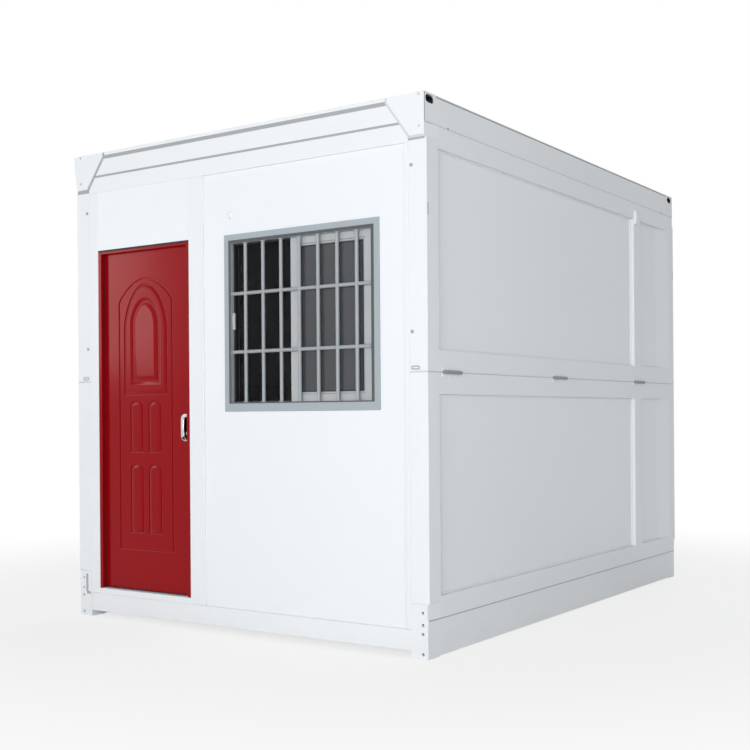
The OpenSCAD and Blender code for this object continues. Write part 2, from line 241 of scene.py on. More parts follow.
class Shading:  # a node tree with short ways to add and join nodes
    def __init__(self, tree):
        self.tree = tree

    def add(self, kind, **values):
        node = self.tree.nodes.new(kind)
        for key, value in values.items():
            if hasattr(node, key):
                setattr(node, key, value)
            else:
                node.inputs[key.replace("_", " ")].default_value = value
        return node

    def join(self, start, end):
        self.tree.links.new(start, end)

    def feed(self, value, socket):  # sets a number or colour, or joins another node's output
        if isinstance(value, (int, float)):
            socket.default_value = value
        elif isinstance(value, tuple):
            socket.default_value = (*value, 1)
        else:
            self.join(value, socket)

    def math(self, operation, first, second=0.0):
        node = self.add("ShaderNodeMath", operation=operation)
        self.feed(first, node.inputs[0])
        self.feed(second, node.inputs[1])
        return node.outputs[0]

    def mixColour(self, factor, first, second):
        node = self.add("ShaderNodeMix", data_type="RGBA")
        for index, value in ((0, factor), (6, first), (7, second)):
            self.feed(value, node.inputs[index])
        return node.outputs[2]

    def noise(self, place, scale, **values):
        node = self.add("ShaderNodeTexNoise", **values)
        self.join(place, node.inputs["Vector"])
        self.feed(scale, node.inputs["Scale"])
        return node.outputs["Fac"]

    def bump(self, surface, height, strength, distance):
        node = self.add("ShaderNodeBump", Strength=strength, Distance=distance)
        self.join(height, node.inputs["Height"])
        self.join(node.outputs["Normal"], surface.inputs["Normal"])

    def seen(self):  # 1 for what shows directly, in a reflection or through glass
        rays = self.add("ShaderNodeLightPath")
        eye = self.math("MAXIMUM", rays.outputs["Is Camera Ray"], rays.outputs["Is Glossy Ray"])
        return self.math("MAXIMUM", eye, rays.outputs["Is Transmission Ray"])

    def blend(self, share, first, second, output):  # mixes two shaders into the tree's output
        node = self.add("ShaderNodeMixShader")
        self.join(share, node.inputs[0])
        self.join(first.outputs[0], node.inputs[1])
        self.join(second.outputs[0], node.inputs[2])
        self.join(node.outputs[0], self.add(output).inputs["Surface"])


def newGroup(name, inputs, outputs):
    tree = bpy.data.node_groups.new(name, "ShaderNodeTree")
    for label, kind, value in inputs:
        socket = tree.interface.new_socket(label, in_out="INPUT", socket_type=kind)
        if value is not None:
            socket.default_value = value
    for label, kind in outputs:
        tree.interface.new_socket(label, in_out="OUTPUT", socket_type=kind)
    shade = Shading(tree)
    return shade, shade.add("NodeGroupInput"), shade.add("NodeGroupOutput")


def makePaintGroup():  # the fine peel of sprayed paint and broad patches of tone
    shade, given, made = newGroup(
        "sprayedPaint",
        [("Place", "NodeSocketVector", None), ("Peel Scale", "NodeSocketFloat", 420.0),
         ("Patch Scale", "NodeSocketFloat", 1.3), ("Ripple", "NodeSocketFloat", 0.3)],
        [("Height", "NodeSocketFloat"), ("Patch", "NodeSocketFloat")])
    place = given.outputs["Place"]
    peel = shade.noise(place, given.outputs["Peel Scale"], Detail=2.0, Roughness=0.5)
    patch = shade.noise(place, given.outputs["Patch Scale"], Detail=4.0, Roughness=0.55)
    swell = shade.noise(place, 3.2, Detail=1.0, Roughness=0.4)
    broad = shade.math("MULTIPLY", swell, given.outputs["Ripple"])
    fine = shade.math("MULTIPLY", peel, 0.05)  # the peel is shallow next to the swell
    shade.join(shade.math("ADD", broad, fine), made.inputs["Height"])
    shade.join(patch, made.inputs["Patch"])
    return shade.tree


def makeDustGroup():  # thin dust near the ground, broken up by noise
    shade, given, made = newGroup(
        "groundDust",
        [("Place", "NodeSocketVector", None), ("Reach", "NodeSocketFloat", 0.5),
         ("Amount", "NodeSocketFloat", 0.4)],
        [("Mask", "NodeSocketFloat")])
    split = shade.add("ShaderNodeSeparateXYZ")
    shade.join(given.outputs["Place"], split.inputs[0])
    low = shade.math("DIVIDE", split.outputs["Z"], given.outputs["Reach"])
    low = shade.math("MAXIMUM", shade.math("SUBTRACT", 1.0, low), 0.0)
    low = shade.math("POWER", low, 2.0)
    cloud = shade.noise(given.outputs["Place"], 7.0, Detail=6.0, Roughness=0.65)
    mask = shade.math("MULTIPLY", low, cloud)
    shade.join(shade.math("MULTIPLY", mask, given.outputs["Amount"]), made.inputs["Mask"])
    return shade.tree


def makeRubGroup():  # paint rubbed thin along sharp edges
    shade, given, made = newGroup(
        "edgeRub",
        [("Place", "NodeSocketVector", None), ("Reach", "NodeSocketFloat", 0.003),
         ("Amount", "NodeSocketFloat", 0.3)],
        [("Mask", "NodeSocketFloat")])
    soft = shade.add("ShaderNodeBevel", samples=4)
    shade.join(given.outputs["Reach"], soft.inputs["Radius"])
    flat = shade.add("ShaderNodeNewGeometry")
    meet = shade.add("ShaderNodeVectorMath", operation="DOT_PRODUCT")
    shade.join(soft.outputs["Normal"], meet.inputs[0])
    shade.join(flat.outputs["Normal"], meet.inputs[1])
    edge = shade.math("SUBTRACT", 1.0, meet.outputs["Value"])
    edge = shade.math("MULTIPLY", edge, 6.0)
    chips = shade.noise(given.outputs["Place"], 34.0, Detail=5.0, Roughness=0.7)
    gate = shade.math("GREATER_THAN", chips, 0.56)  # only some stretches of an edge are rubbed
    mask = shade.math("MULTIPLY", shade.math("MINIMUM", edge, 1.0), gate)
    shade.join(shade.math("MULTIPLY", mask, given.outputs["Amount"]), made.inputs["Mask"])
    return shade.tree


def makeBrushGroup():  # long fine scratches of brushed or drawn metal
    shade, given, made = newGroup(
        "drawnMetal",
        [("Place", "NodeSocketVector", None), ("Along", "NodeSocketVector", (1.0, 1.0, 0.02)),
         ("Scale", "NodeSocketFloat", 900.0)],
        [("Height", "NodeSocketFloat"), ("Tone", "NodeSocketFloat")])
    stretch = shade.add("ShaderNodeVectorMath", operation="MULTIPLY")
    shade.join(given.outputs["Place"], stretch.inputs[0])
    shade.join(given.outputs["Along"], stretch.inputs[1])
    lines = shade.noise(stretch.outputs[0], given.outputs["Scale"], Detail=3.0, Roughness=0.6)
    shade.join(lines, made.inputs["Height"])
    shade.join(shade.noise(given.outputs["Place"], 9.0, Detail=3.0), made.inputs["Tone"])
    return shade.tree


paintGroup = makePaintGroup()
dustGroup = makeDustGroup()
rubGroup = makeRubGroup()
brushGroup = makeBrushGroup()


def newMaterial(name, constants):
    material = bpy.data.materials.new(name)
    material.use_nodes = True
    shade = Shading(material.node_tree)
    surface = material.node_tree.nodes["Principled BSDF"]
    for key, value in constants.items():
        surface.inputs[key].default_value = value
    place = shade.add("ShaderNodeTexCoord").outputs["Object"]
    return material, shade, surface, place


def useGroup(shade, tree, place, **values):
    node = shade.add("ShaderNodeGroup", node_tree=tree)
    shade.join(place, node.inputs["Place"])
    for key, value in values.items():
        node.inputs[key.replace("_", " ")].default_value = value
    return node


def paintedSteel(name, look):
    # sprayed paint: tone patches, dust low down, edges rubbed thin, a fine peel
    material, shade, surface, place = newMaterial(name, look["constants"])
    paint = useGroup(shade, paintGroup, place, Peel_Scale=look["peel"], Patch_Scale=look["patch"],
                     Ripple=look["ripple"])
    dust = useGroup(shade, dustGroup, place, Reach=look["dustReach"], Amount=look["dust"])
    tone = shade.mixColour(paint.outputs["Patch"], look["colour"], look["shadow"])
    if look["rub"]:
        rub = useGroup(shade, rubGroup, place, Reach=look["rubReach"], Amount=look["rub"])
        tone = shade.mixColour(rub.outputs["Mask"], tone, look["under"])
    tone = shade.mixColour(dust.outputs["Mask"], tone, look["dustColour"])
    shade.join(tone, surface.inputs["Base Color"])
    spread = shade.math("MULTIPLY", paint.outputs["Patch"], look["roughSpread"])
    rough = shade.math("ADD", spread, look["rough"])
    rough = shade.math("ADD", rough, shade.math("MULTIPLY", dust.outputs["Mask"], 0.4))
    shade.join(rough, surface.inputs["Roughness"])
    shade.bump(surface, paint.outputs["Height"], look["bump"], look["bumpDepth"])
    return material


whiteLook = {"colour": (0.835, 0.865, 0.89), "shadow": (0.795, 0.825, 0.85), "under": (0.55, 0.55, 0.54),
             "dustColour": (0.52, 0.48, 0.42), "dust": 0.22, "dustReach": 0.35, "rub": 0.35,
             "rubReach": 0.002, "peel": 420.0, "patch": 1.1, "ripple": 0.2, "rough": 0.34,
             "roughSpread": 0.14, "bump": 0.25, "bumpDepth": 0.0012,
             "constants": {"Specular IOR Level": 0.4}}


def painted(name, **changes):  # the white frame paint with some of its values changed
    return paintedSteel(name, {**whiteLook, **changes})


def brushedMetal(name, look):
    material, shade, surface, place = newMaterial(name, look["constants"])
    drawn = useGroup(shade, brushGroup, place, Along=look["along"], Scale=look["scale"])
    tone = shade.mixColour(drawn.outputs["Tone"], look["colour"], look["dark"])
    shade.join(tone, surface.inputs["Base Color"])
    rough = shade.math("ADD", shade.math("MULTIPLY", drawn.outputs["Height"], 0.2), look["rough"])
    shade.join(rough, surface.inputs["Roughness"])
    shade.bump(surface, drawn.outputs["Height"], 0.2, 0.0003)
    return material


def tintedGlass(name, look):  # smoked float glass with a thin even haze
    material, shade, surface, place = newMaterial(name, look["constants"])
    film = useGroup(shade, paintGroup, place, Peel_Scale=60.0, Patch_Scale=2.2, Ripple=1.0)
    shade.join(shade.mixColour(film.outputs["Patch"], look["colour"], look["dark"]),
               surface.inputs["Base Color"])
    rough = shade.math("MULTIPLY", film.outputs["Patch"], look["haze"])
    shade.join(rough, surface.inputs["Roughness"])
    return material


def boardFloor(name, look):
    # long boards: a seam every board width, grain along the board, tone by board
    material, shade, surface, place = newMaterial(name, look["constants"])
    split = shade.add("ShaderNodeSeparateXYZ")
    shade.join(place, split.inputs[0])
    across = shade.math("DIVIDE", split.outputs["X"], look["boardWidth"])
    number = shade.math("FLOOR", across)
    within = shade.math("FRACT", across)
    edge = shade.math("ABSOLUTE", shade.math("SUBTRACT", within, 0.5))
    seam = shade.math("GREATER_THAN", edge, 0.5 - look["seamShare"])
    grainPlace = shade.add("ShaderNodeCombineXYZ")
    shade.join(shade.math("ADD", split.outputs["X"], shade.math("MULTIPLY", number, 3.7)),
               grainPlace.inputs["X"])
    shade.join(shade.math("MULTIPLY", split.outputs["Y"], 0.06), grainPlace.inputs["Y"])
    grain = shade.noise(grainPlace.outputs[0], 70.0, Detail=8.0, Roughness=0.6, Distortion=0.6)
    tone = shade.mixColour(grain, look["colour"], look["dark"])
    tone = shade.mixColour(shade.math("MULTIPLY", seam, 0.8), tone, look["seam"])
    shade.join(tone, surface.inputs["Base Color"])
    shade.bump(surface, shade.math("SUBTRACT", grain, seam), 0.3, 0.001)
    return material


finishes = {
    "white_frame_paint": painted("whiteFramePaint"),
    "wall_panel": painted(
        "wallPanelPaint", colour=(0.85, 0.88, 0.905), shadow=(0.82, 0.85, 0.875), rub=0, ripple=2.6,
        patch=0.7, dust=0.16, dustReach=0.6, bumpDepth=0.0018, rough=0.3),
    "roof_sheet": painted(
        "roofSheetPaint", colour=(0.74, 0.755, 0.765), shadow=(0.66, 0.67, 0.67), patch=2.2, dust=0.0),
    "ceiling_board": painted(
        "ceilingPaint", colour=(0.8, 0.81, 0.81), shadow=(0.76, 0.77, 0.77), rough=0.6, rub=0),
    "red_door_paint": painted(
        "redDoorPaint", colour=(0.30, 0.0022, 0.0052), shadow=(0.25, 0.0018, 0.0044),
        under=(0.1, 0.01, 0.01), dustColour=(0.2, 0.03, 0.03), dust=0.12, rub=0.0, rough=0.13,
        roughSpread=0.08, ripple=0.9, peel=300.0, patch=2.0, bump=0.25, bumpDepth=0.0006,
        constants={"Specular IOR Level": 0.22, "Specular Tint": (1.0, 0.45, 0.45, 1.0)}),
    "lock_steel": brushedMetal("lockSteel", {
        "colour": (0.6, 0.61, 0.62), "dark": (0.46, 0.47, 0.48), "along": (1.0, 1.0, 0.02), "scale": 900.0,
        "rough": 0.24, "constants": {"Metallic": 1.0}}),
    "hinge_steel": painted(
        "hingePaint", colour=(0.30, 0.31, 0.32), shadow=(0.24, 0.25, 0.26), under=(0.5, 0.5, 0.5), rub=0.8,
        dust=0.1, rough=0.4),
    "window_frame_steel": painted(
        "windowFramePaint", colour=(0.39, 0.44, 0.47), shadow=(0.34, 0.39, 0.42), under=(0.3, 0.3, 0.3),
        dust=0.0, rough=0.36),
    "sash_aluminium": brushedMetal("sashAluminium", {
        "colour": (0.45, 0.47, 0.48), "dark": (0.39, 0.41, 0.42), "along": (1.0, 1.0, 0.03), "scale": 700.0,
        "rough": 0.3, "constants": {"Metallic": 0.2}}),
    "window_glass": tintedGlass("windowGlass", {
        "colour": (0.24, 0.255, 0.275), "dark": (0.17, 0.18, 0.195), "haze": 0.08,
        "constants": {"Transmission Weight": 0.75, "IOR": 1.45, "Metallic": 0.0}}),
    "guard_steel": painted(
        "guardPaint", colour=(0.36, 0.39, 0.41), shadow=(0.3, 0.33, 0.35), under=(0.2, 0.2, 0.2), rub=0.4,
        dust=0.0, rough=0.34, constants={"Specular IOR Level": 0.5}),
    "joist_steel": brushedMetal("joistZinc", {
        "colour": (0.5, 0.52, 0.54), "dark": (0.36, 0.38, 0.4), "along": (1.0, 1.0, 1.0), "scale": 60.0,
        "rough": 0.4, "constants": {"Metallic": 0.8}}),
    "floor_boards": boardFloor("floorBoards", {
        "colour": (0.36, 0.25, 0.16), "dark": (0.24, 0.16, 0.1), "seam": (0.06, 0.04, 0.03),
        "boardWidth": 0.19, "seamShare": 0.012, "constants": {"Roughness": 0.42}}),
    # black rubber for the real gaskets and seals; it is also laid as painted shade in the window track, the
    # lifting slots, the lock recess and at the door head
    "black_rubber_and_shade": painted(
        "blackRubberAndShade", colour=(0.012, 0.012, 0.013), shadow=(0.02, 0.02, 0.021), dust=0.0, rub=0, rough=0.55),
    # grey sealant for the real fittings; it also paints the shade lines along the roof and plate joints, the
    # foot joint, the post holes and the slot mark
    "grey_sealant_and_shade": painted(
        "greySealantAndShade", colour=(0.35, 0.36, 0.37), shadow=(0.42, 0.43, 0.44), dust=0.1, rub=0, rough=0.6),
    # near black that paints the shade on the inner edge of the window frame
    "painted_reveal_shade": painted(
        "paintedRevealShade", colour=(0.08, 0.085, 0.09), shadow=(0.11, 0.115, 0.12), dust=0.1, rub=0, rough=0.7),
    # pale seal for the fold strip; it also paints the lighter shade line on the right corner plates
    "pale_seal_and_shade": painted(
        "paleSealAndShade", colour=(0.66, 0.68, 0.7), shadow=(0.6, 0.62, 0.64), dust=0.1, rub=0, rough=0.6),
}
# the seals have no slot of their own in the record
print("materials ready:", len(finishes))


studioLook = {"floorSize": 160, "floorTone": (0.88, 0.88, 0.88, 1.0), "white": (1.0, 1.0, 1.0, 1.0),
              "ambientTint": (0.97, 0.985, 1.0, 1.0), "ambient": 0.42,
              "fade": {"From Min": 2.0, "From Max": 5.0, "To Min": 0.72, "To Max": 1.0}}
cameraView = {"place": (3.802, -5.91, 1.087), "turn": 34.2, "roll": 0.41, "lens": 55.43, "shiftUp": 0.0532}
lampPlans = [  # name, place, what it points at, width, height, watts
    ("frontLamp", (3.4, -11.0, 2.2), (0.3, -1.5, 0.6), 4.6, 4.6, 495.0),
    ("doorLamp", (-6.25, -6.0, 2.75), (-0.8, -1.5, 1.5), 1.5, 2.3, 46.0),
    ("sideLamp", (6.0, -4.8, 0.9), (1.1, -0.5, 0.4), 2.2, 2.2, 60.0),
    ("backLamp", (-3.0, 11.0, 6.0), (0.0, 1.5, 1.2), 5.0, 5.0, 330.0),
]


def placeCamera():
    startFresh()
    bpy.ops.object.camera_add(location=cameraView["place"],
                              rotation=(math.pi / 2, math.radians(cameraView["roll"]),
                                        math.radians(cameraView["turn"])))
    camera = bpy.context.object
    camera.data.lens = cameraView["lens"]
    camera.data.sensor_width = 36
    camera.data.shift_y = cameraView["shiftUp"]
    camera.data.clip_end = 200
    scene.camera = camera


def placeLamps():
    for name, place, target, width, height, watts in lampPlans:
        startFresh()
        bpy.ops.object.light_add(type="AREA", location=place)
        lamp = bpy.context.object
        lamp.name = name
        lamp.data.shape = "RECTANGLE"
        lamp.data.size = width
        lamp.data.size_y = height
        lamp.data.energy = watts
        away = Vector(target) - Vector(place)
        lamp.rotation_euler = away.to_track_quat("-Z", "Y").to_euler()


def setWorld():  # white where it is seen, a soft even light everywhere else
    world = bpy.data.worlds.new("studio")
    scene.world = world
    world.use_nodes = True
    shade = Shading(world.node_tree)
    shade.tree.nodes.clear()
    ambient = shade.add("ShaderNodeBackground", Color=studioLook["ambientTint"],
                        Strength=studioLook["ambient"])
    white = shade.add("ShaderNodeBackground", Color=studioLook["white"], Strength=1.0)
    shade.blend(shade.seen(), ambient, white, "ShaderNodeOutputWorld")


def layFloor():  # a pale floor that keeps the soft shadow and fades to white further out
    startFresh()
    bpy.ops.mesh.primitive_plane_add(size=studioLook["floorSize"], location=(0, 0, 0))
    floor = bpy.context.object
    floor.name = "studioFloor"
    material = bpy.data.materials.new("studioFloor")
    material.use_nodes = True
    shade = Shading(material.node_tree)
    shade.tree.nodes.clear()
    far = shade.add("ShaderNodeVectorMath", operation="LENGTH")
    shade.join(shade.add("ShaderNodeTexCoord").outputs["Object"], far.inputs[0])
    reach = shade.add("ShaderNodeMapRange", interpolation_type="SMOOTHSTEP")
    shade.join(far.outputs["Value"], reach.inputs["Value"])
    for socket, value in studioLook["fade"].items():
        reach.inputs[socket].default_value = value
    matt = shade.add("ShaderNodeBsdfDiffuse", Color=studioLook["floorTone"])
    glow = shade.add("ShaderNodeEmission", Color=studioLook["white"], Strength=1.0)
    share = shade.math("MULTIPLY", shade.seen(), reach.outputs[0])
    shade.blend(share, matt, glow, "ShaderNodeOutputMaterial")
    floor.data.materials.append(material)


placeCamera()
placeLamps()
setWorld()
layFloor()
print("camera, lamps and floor ready")


softEdges = {"white_frame_paint": 0.0025, "wall_panel": 0.0012, "hinge_steel": 0.0012,
             "window_frame_steel": 0.0015, "red_door_paint": 0.0015, "joist_steel": 0.002}


def softenNode(node, width):  # joins the loose faces and rounds the folded edges
    weld = node.modifiers.new("weld", "WELD")
    weld.merge_threshold = 0.00005
    if width:
        soft = node.modifiers.new("fold", "BEVEL")
        soft.width = width
        soft.segments = 2
        soft.limit_method = "ANGLE"
        soft.angle_limit = math.radians(35)


def dressNodes():
    for part in frame["record"]["subparts"]:
        node = frame["nodes"][part["node"]]
        slot = part["material_slot"]
        node.data.materials.clear()
        node.data.materials.append(finishes[slot])
        softenNode(node, softEdges.get(slot, 0.0))
        pick(node)
        bpy.ops.object.shade_smooth_by_angle(angle=math.radians(35))
        levelNormals(node)


dressNodes()
print("frame and panels dressed")


doorLook = {
    "grooveDepth": 0.004, "grooveWidth": 0.007, "margin": 0.0015, "patternX": -0.643, "bottomZ": 0.377,
    "plateHalf": 0.197, "plateShoulder": 1.70, "plateTop": 1.822,
    "bandHalf": 0.151, "bandLow": 1.212, "bandShoulder": 1.56, "bandTop": 1.785,
    "innerHalf": 0.084, "innerLow": 1.283, "innerShoulder": 1.575, "innerTop": 1.69,
    "lean": 0.035, "leanHeight": 1.5, "columnHalf": 0.040, "columnShift": 0.067,
    "upperRow": (0.905, 1.165), "lowerRow": (0.475, 0.828),
}


def doorPressings(back):
    # raised fields around the pressed grooves, laid out on the leaf's front
    look = doorLook
    leafLow, leafHigh = nodeBox["door_leaf"]
    middle = look["patternX"]
    groove, margin = look["grooveWidth"], look["margin"]
    plate = archOutline(middle, look["plateHalf"], look["bottomZ"], look["plateShoulder"],
                        look["plateTop"], 0.9, 28)
    plateInner = archOutline(middle, look["plateHalf"] - groove, look["bottomZ"] + groove,
                             look["plateShoulder"], look["plateTop"] - groove * 1.4, 0.9, 28)
    band = archOutline(middle, look["bandHalf"], look["bandLow"], look["bandShoulder"],
                       look["bandTop"], 0.25, 28)
    bandEdge = archOutline(middle, look["bandHalf"] + groove, look["bandLow"] - groove,
                           look["bandShoulder"], look["bandTop"] + groove, 0.25, 28)
    bandHole = archOutline(middle, look["innerHalf"] + groove * 1.8, look["innerLow"] - groove * 1.8,
                           look["innerShoulder"], look["innerTop"] + groove * 2, 0.1, 24)
    inner = archOutline(middle, look["innerHalf"], look["innerLow"], look["innerShoulder"],
                        look["innerTop"], 0.1, 24)
    columns, columnHoles = [], []
    for side in (-1, 1):
        for low, high in (look["upperRow"], look["lowerRow"]):
            centre = middle + side * look["columnShift"]
            arch = look["columnHalf"] * 0.6
            columns.append(archOutline(centre, look["columnHalf"], low, high - arch, high, 0.0, 10))
            columnHoles.append(archOutline(centre, look["columnHalf"] + groove, low - groove,
                                           high - arch, high + groove, 0.0, 10))
    border = boxOutline(leafLow.x + margin, leafHigh.x - margin, leafLow.z + margin, leafHigh.z - margin)
    front = leafLow.y
    made = [
        outlineSheet("borderField", [border, plate], back, front + 0.0015, [(0.004, 0.0015)]),
        outlineSheet("plateField", [plateInner, bandEdge] + columnHoles, back, front + 0.0015,
                     [(0.004, 0.0015)]),
        outlineSheet("archBand", [band, bandHole], back, front + 0.002, [(0.009, 0.0032), (0.008, 0.0008)]),
        outlineSheet("archPanel", [inner], back, front + 0.002, [(0.012, 0.003), (0.010, 0.0008)]),
    ]
    # the arched field leans a little: its lock side stands further out than its hinge side
    chooseFaces(made[-1], lambda c, n: n.y < -0.99 and c.y < front - 0.0015)
    bpy.ops.transform.rotate(value=look["lean"], orient_axis="Z",
                             center_override=(middle, front - 0.0018, look["leanHeight"]))
    bpy.ops.object.mode_set(mode="OBJECT")
    for number, outline in enumerate(columns):
        made.append(outlineSheet(f"column{number}", [outline], back, front + 0.002,
                                 [(0.009, 0.003), (0.007, 0.0006)]))
    return made


def buildDoorLeaf():
    low, high = nodeBox["door_leaf"]
    back = low.y + doorLook["grooveDepth"]
    middleZ = (low.z + high.z) / 2
    core = addBlock("doorCore", (low.x, back, low.z), (high.x, high.y, high.z))
    # the inner face has one plain pressed field
    roundEdges(core, 0.0015)
    insetFaces(core, lambda c, n: n.y > 0.99 and abs(c.z - middleZ) < 0.2, [(0.07, 0.0), (0.01, -0.004)])
    leaf = joinAll("doorLeaf", [core] + doorPressings(back + 0.0005))
    finishPiece(leaf, "door", "red_door_paint", ["door_leaf"], angle=28)


buildDoorLeaf()
print("door leaf done")


lockLook = {"shiftX": 0.001, "plateWide": 0.068, "plateHigh": 0.140, "plateDeep": 0.004, "wellShift": 0.010,
            "wellWide": 0.036, "wellHigh": 0.098, "gripShift": -0.012, "gripOut": 0.021, "gripRadius": 0.006,
            "gripHigh": 0.100, "barrelShift": 0.004, "barrelDrop": 0.030, "barrelRadius": 0.0085,
            "screwRise": 0.058, "screwRadius": 0.004}


def plateOutline(middleX, middleZ, wide, high, count=8):
    points = []
    radius = wide * 0.42
    for cornerX, cornerZ, start in ((1, 1, 0), (-1, 1, 90), (-1, -1, 180), (1, -1, 270)):
        for step in range(count + 1):
            turn = math.radians(start + 90 * step / count)
            points.append((middleX + cornerX * (wide / 2 - radius) + radius * math.cos(turn),
                           middleZ + cornerZ * (high / 2 - radius) + radius * math.sin(turn)))
    return points


def bowGrip(x, front, middleZ):  # bent from a round bar, it stands over the well, whose black lining paints the shade inside it
    look = lockLook
    top, bottom = middleZ + look["gripHigh"] / 2, middleZ - look["gripHigh"] / 2
    path = bpy.data.curves.new("grip", "CURVE")
    path.dimensions = "3D"
    path.bevel_depth = look["gripRadius"]
    path.bevel_resolution = 5
    path.use_fill_caps = True
    run = path.splines.new("BEZIER")
    run.bezier_points.add(5)
    out = front - look["gripOut"] + look["gripRadius"]
    spots = [(front - 0.002, top - 0.006), (front - 0.010, top - 0.005), (out, top - 0.020),
             (out, bottom + 0.020), (front - 0.010, bottom + 0.005), (front - 0.002, bottom + 0.006)]
    for point, (y, z) in zip(run.bezier_points, spots):
        point.co = (x, y, z)
        point.handle_left_type = point.handle_right_type = "AUTO"
    grip = bpy.data.objects.new("grip", path)
    scene.collection.objects.link(grip)
    pick(grip)
    bpy.ops.object.convert(target="MESH")
    return bpy.context.object


def buildLock():
    look = lockLook
    low, high = nodeBox["door_lock"]
    leafLow, leafHigh = nodeBox["door_leaf"]
    front = leafLow.y
    middleX, middleZ = (low.x + high.x) / 2 + look["shiftX"], (low.z + high.z) / 2
    wellX = middleX + look["wellShift"]
    plate = outlineSheet("lockPlate",
                         [plateOutline(middleX, middleZ, look["plateWide"], look["plateHigh"]),
                          plateOutline(wellX, middleZ, look["wellWide"], look["wellHigh"])],
                         front + 0.001, front - look["plateDeep"] * 0.5, [(0.003, 0.002), (0.003, 0.0004)])
    grip = bowGrip(wellX + look["gripShift"], front, middleZ)
    barrel = addRod("lockBarrel", (wellX + look["barrelShift"], front - 0.004, middleZ - look["barrelDrop"]),
                    look["barrelRadius"], 0.008, "Y", 32)
    roundEdges(barrel, 0.001)
    insetFaces(barrel, facing("-Y"), [(0.003, 0.0), (0.0005, -0.0015)])
    screws = []
    for shift in (-look["screwRise"], look["screwRise"]):
        screw = addRod("plateScrew", (middleX, front - look["plateDeep"] - 0.0002, middleZ + shift),
                       look["screwRadius"], 0.003, "Y", 20)
        screws.append(insetFaces(screw, facing("-Y"), [(0.0012, 0.0006)]))
    outer = joinAll("lockOuter", [plate, grip, barrel] + screws)
    inner = mirrorCopy(outer, "lockInner", "Y", (front + leafHigh.y) / 2)  # the same set on the inner side
    finishPiece(joinAll("doorLock", [outer, inner]), "door", "lock_steel", ["door_lock"])
    # the black lining of the plate's recess paints the shade inside it
    hollow = plateOutline(wellX, middleZ, look["wellWide"] - 0.0006, look["wellHigh"] - 0.0006)
    well = outlineSheet("lockWellShade", [hollow], front + 0.001, front - 0.0006, [(0.003, 0.0002)])
    finishPiece(well, "door", "black_rubber_and_shade")


buildLock()
print("lock done")


foldHingeLook = {"long": 0.160, "high": 0.044, "plate": 0.004, "split": 0.004, "radius": 0.0085,
                 "knuckles": 5, "gap": 0.0012, "pinRadius": 0.005, "screws": (-0.055, -0.02, 0.02, 0.055),
                 "screwRise": 0.0155, "screwRadius": 0.0042}


def buildFoldHinges():
    look = foldHingeLook
    low, high = nodeBox["right_wall_hinges"]
    wallX, middleZ = low.x, (low.z + high.z) / 2
    first, last = low.y + look["long"] / 2, high.y - look["long"] / 2
    axisX = wallX + look["radius"] + 0.0005
    plates, barrels = [], []
    for bottom, top in ((-look["high"] / 2, -look["split"]), (look["split"], look["high"] / 2)):
        plates.append(softBlock("hingePlate", (wallX, first - look["long"] / 2, middleZ + bottom),
                                (wallX + look["plate"], first + look["long"] / 2, middleZ + top), 0.0012))
    share = look["long"] / look["knuckles"]
    for number in range(look["knuckles"]):
        spot = first - look["long"] / 2 + share * (number + 0.5)
        knuckle = addRod("knuckle", (axisX, spot, middleZ), look["radius"], share - look["gap"], "Y", 24)
        barrels.append(roundEdges(knuckle, 0.0008))
    pin = addRod("hingePin", (axisX, first, middleZ), look["pinRadius"], look["long"] - 0.0002, "Y", 20)
    barrels.append(pin)
    for shift in look["screws"]:
        for rise in (-look["screwRise"], look["screwRise"]):
            screw = addRod("hingeScrew", (wallX + look["plate"] + 0.0005, first + shift, middleZ + rise),
                           look["screwRadius"], 0.003, "X", 16)
            plates.append(insetFaces(screw, facing("+X"), [(0.0012, 0.0007)]))
    shifts = [(0, (last - first) / 2, 0), (0, last - first, 0)]
    for name, pieces, slot in (("FoldHinges", plates, "white_frame_paint"),
                               ("FoldBarrels", barrels, "hinge_steel")):
        right = joinAll("right" + name, spread(joinAll("right" + name, pieces), shifts))
        left = mirrorCopy(right, "left" + name, "X")
        for side, hinges in (("right", right), ("left", left)):
            finishPiece(hinges, "house", slot, [side + "_wall_hinges"] if name == "FoldHinges" else [])


buildFoldHinges()
print("fold hinges done")


sashLook = {"stile": 0.060, "rail": 0.046, "bead": 0.012, "pane": 0.005}
guardLook = {"bars": 7, "pitch": 0.112, "rise": 0.290, "radius": 0.009, "weld": 0.0122, "lug": 0.0145,
             "lugThick": 0.004}
trackLook = {"thick": 0.006, "headThick": 0.008, "sunk": 0.0005, "past": 0.002, "lip": 0.006,
             "channel": 0.003}
latchLook = {"bottom": 1.515, "top": 1.600, "wide": 0.016, "tailBottom": 1.540, "tailTop": 1.590}


def sashOutline(node, shrink):
    low, high = nodeBox[node]
    across, up = sashLook["stile"] - shrink, sashLook["rail"] - shrink
    return boxOutline(low.x + across, high.x - across, low.z + up, high.z - up)


def buildSash(node, name):
    # hollow aluminium section: a flat face stepping down to a glazing bead
    low, high = nodeBox[node]
    outer = boxOutline(low.x, high.x, low.z, high.z)
    step = sashOutline(node, sashLook["bead"])
    body = outlineSheet(name, [outer, step], high.y, low.y + 0.001, [(0.001, 0.001)])
    bead = outlineSheet(name + "Bead", [step, sashOutline(node, 0)], high.y - 0.002, low.y + 0.006,
                        [(0.003, 0.0025)])
    sash = joinAll(name, [body, bead])
    return finishPiece(sash, "house", "sash_aluminium", [node])


